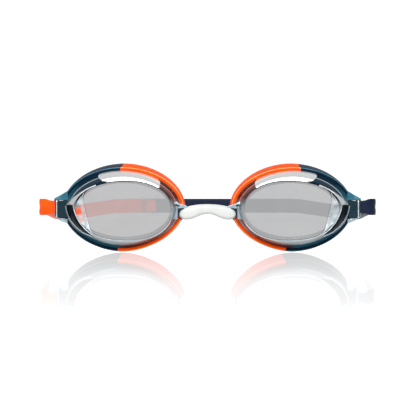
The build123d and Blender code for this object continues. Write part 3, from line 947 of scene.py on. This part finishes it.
def strap_skin(bm, spots):
    """Skins the band through its sections."""
    layer = bm.verts.layers.float.new("turn")
    first = bmesh.ops.create_circle(bm, cap_ends=False, radius=1.0, segments=STRAP_POINTS)["verts"]
    for vert in first:
        vert[layer] = math.atan2(vert.co.y, vert.co.x)
    edges = list({edge for vert in first for edge in vert.link_edges})
    start_edges = edges
    total = len(spots) - 1

    def settle(verts, number):
        spot, heading = spots[number]
        across = Vector((math.sin(heading), -math.cos(heading)))
        near_bar = (Vector(spot) - Vector((bar_level.x, bar_level.y))).length
        taper = min(max((near_bar - 2.2) / 3.2, 0.0), 1.0)
        taper = taper * taper * (3 - 2 * taper)
        half_width = 2.6 + (STRAP_WIDTH / 2 - 2.6) * taper
        half_thick = 0.5 + (STRAP_THICK / 2 - 0.5) * taper
        close = 0.72 if number in (0, total) else 1.0
        z = strap_height(spot)
        for vert in verts:
            c, s = math.cos(vert[layer]), math.sin(vert[layer])
            out = math.copysign(abs(c) ** 0.45, c) * half_thick * close
            up = math.copysign(abs(s) ** 0.35, s) * half_width * (0.5 + 0.5 * close)
            groove = math.exp(-((up / 0.55) ** 2)) * 0.22 * taper
            if c > 0:
                out -= groove
            vert.co = (spot.x + across.x * out, spot.y + across.y * out, z + up)

    settle(first, 0)
    for number in range(1, total + 1):
        verts, edges, _ = extrude_ring(bm, edges)
        settle(verts, number)
    cap(bm, start_edges)
    cap(bm, edges)


STRAP_ORANGE = soft_silicone(
    "orange_strap_silicone", (1.0, 0.075, 0.004), (1.0, 0.11, 0.006), 0.34, 0.5, STRAP_GRAIN, STRAP_SHINE
)
STRAP_NAVY = soft_silicone(
    "navy_strap_silicone", (0.007, 0.012, 0.03), (0.011, 0.018, 0.042), 0.3, 0.45, STRAP_GRAIN, STRAP_SHINE
)

straps = (
    ("left", LEFT, 1, LEFT_END, STRAP_NAVY, "navy_strap"),
    ("right", RIGHT, -1, RIGHT_END, STRAP_ORANGE, "orange_strap"),
)
for side_name, side, layer, tail_x, material, slot in straps:
    bm = bmesh.new()
    strap_skin(bm, strap_route(layer, tail_x))
    band = finish_piece(bm, side_name + "_head_strap", LEVEL_TO_REST @ mirrored(side), [material], 40.0)
    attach(band, side_name + "_strap")
    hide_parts(side_name + "_strap")


# ---------------------------------------------------------------------------
# Strap clip. A small clear polycarbonate slider behind the head: two rails,
# two bars in front of the straps and a keeper behind them.
# ---------------------------------------------------------------------------
CLIP_CLEAR = clear_plastic("clear_clip_polycarbonate", (0.90, 0.95, 0.97), (0.84, 0.92, 0.95))
frame["nodes"]["strap_clip"].data.materials.clear()
frame["nodes"]["strap_clip"].data.materials.append(CLIP_CLEAR)


# ---------------------------------------------------------------------------
# Studio: a pale polished floor, soft light from above and the front, and the
# camera in front of the goggles and a little above them.
# ---------------------------------------------------------------------------
bm = bmesh.new()
bmesh.ops.create_grid(bm, x_segments=2, y_segments=2, size=6.0)
bmesh.ops.translate(bm, vec=(0, 0, -0.00002), verts=bm.verts)
mesh = bpy.data.meshes.new("floor")
bm.to_mesh(mesh)
bm.free()
floor = bpy.data.objects.new("floor", mesh)
bpy.context.scene.collection.objects.link(floor)
material, nodes, links, shader = new_material("polished_white_floor")
shader.inputs["Base Color"].default_value = (0.02, 0.02, 0.02, 1)
shader.inputs["Roughness"].default_value = 0.04
shader.inputs["IOR"].default_value = 1.5
shader.inputs["Emission Color"].default_value = (1, 1, 1, 1)
# Painted shade: the floor's glow dips in a band in front of and under the goggles' front, between their
# outer edges.
where = nodes.new("ShaderNodeTexCoord")
split = nodes.new("ShaderNodeSeparateXYZ")
glow = nodes.new("ShaderNodeFloatCurve")
links.new(where.outputs["Object"], split.inputs["Vector"])
nearer = nodes.new("ShaderNodeMapRange")
nearer.inputs["From Min"].default_value = pin_at.y - 0.25
nearer.inputs["From Max"].default_value = pin_at.y + 0.05
links.new(split.outputs["Y"], nearer.inputs["Value"])
links.new(nearer.outputs["Result"], glow.inputs["Value"])
curve = glow.mapping.curves[0]
curve.points[0].location = (0.0, 1.0)
curve.points[1].location = (1.0, 1.0)
for place, level in ((0.25, 1.0), (0.60, 0.84), (0.80, 0.66), (0.90, 0.62), (0.95, 1.0)):
    curve.points.new(place, level)
glow.mapping.update()
beside = nodes.new("ShaderNodeMath")
beside.operation = "ABSOLUTE"
links.new(split.outputs["X"], beside.inputs[0])
edge = nodes.new("ShaderNodeMapRange")
edge.inputs["From Min"].default_value = 0.052
edge.inputs["From Max"].default_value = 0.064
links.new(beside.outputs["Value"], edge.inputs["Value"])
level = nodes.new("ShaderNodeMath")
level.operation = "MAXIMUM"
links.new(glow.outputs["Value"], level.inputs[0])
links.new(edge.outputs["Result"], level.inputs[1])
links.new(level.outputs["Value"], shader.inputs["Emission Strength"])
blur = nodes.new("ShaderNodeMapRange")
blur.inputs["From Min"].default_value = pin_at.y + 0.03
blur.inputs["From Max"].default_value = pin_at.y + 0.05
blur.inputs["To Min"].default_value = 0.04
blur.inputs["To Max"].default_value = 0.6
links.new(split.outputs["Y"], blur.inputs["Value"])
links.new(blur.outputs["Result"], shader.inputs["Roughness"])
mesh.materials.append(material)

world = bpy.data.worlds.new("white_room")
world.use_nodes = True
nodes, links = world.node_tree.nodes, world.node_tree.links
facing = nodes.new("ShaderNodeTexCoord")
split = nodes.new("ShaderNodeSeparateXYZ")
room = nodes.new("ShaderNodeValToRGB")
turn = nodes.new("ShaderNodeMapRange")
turn.inputs["From Min"].default_value = -1.0
links.new(facing.outputs["Generated"], split.inputs["Vector"])
links.new(split.outputs["Y"], turn.inputs["Value"])
links.new(turn.outputs["Result"], room.inputs["Fac"])
room.color_ramp.elements[0].color = (0.70, 0.70, 0.71, 1)
room.color_ramp.elements[1].color = (1.6, 1.6, 1.6, 1)
for place, grey in ((0.10, 0.68), (0.25, 0.22), (0.75, 0.22), (0.93, 0.5), (0.965, 1.6)):
    room.color_ramp.elements.new(place).color = (grey, grey, grey, 1)
links.new(room.outputs["Color"], nodes["Background"].inputs["Color"])
nodes["Background"].inputs["Strength"].default_value = 1.0
bpy.context.scene.world = world
bpy.context.scene.view_settings.view_transform = "Standard"

FRONT_Y = pin_at.y


def soft_light(name, at, aim, width, depth, power):
    """Rectangular soft light aimed at a point."""
    data = bpy.data.lights.new(name, "AREA")
    data.shape = "RECTANGLE"
    data.size, data.size_y, data.energy = width, depth, power
    lamp = bpy.data.objects.new(name, data)
    lamp.location = at
    lamp.rotation_euler = (Vector(aim) - Vector(at)).to_track_quat("-Z", "Y").to_euler()
    bpy.context.scene.collection.objects.link(lamp)
    return lamp


soft_light("overhead", (0, FRONT_Y + 0.25, 0.75), (0, FRONT_Y, 0.02), 0.7, 0.5, 2.3)
soft_light("front", (0, FRONT_Y - 0.75, 0.60), (0, FRONT_Y, 0.02), 0.9, 0.35, 9.0)

CAMERA_DISTANCE = 0.650
CAMERA_RISE = math.radians(7.12)
AIM = Vector((0.0002, FRONT_Y + 0.008, pin_at.z - 0.0014))
camera_data = bpy.data.cameras.new("camera")
camera_data.sensor_width = 36.0
camera_data.lens = 36.0 * 650.0 / (416 * 0.435)
camera = bpy.data.objects.new("camera", camera_data)
camera.location = AIM + CAMERA_DISTANCE * Vector((0, -math.cos(CAMERA_RISE), math.sin(CAMERA_RISE)))
camera.rotation_euler = (AIM - camera.location).to_track_quat("-Z", "Y").to_euler()
bpy.context.scene.collection.objects.link(camera)
bpy.context.scene.camera = camera
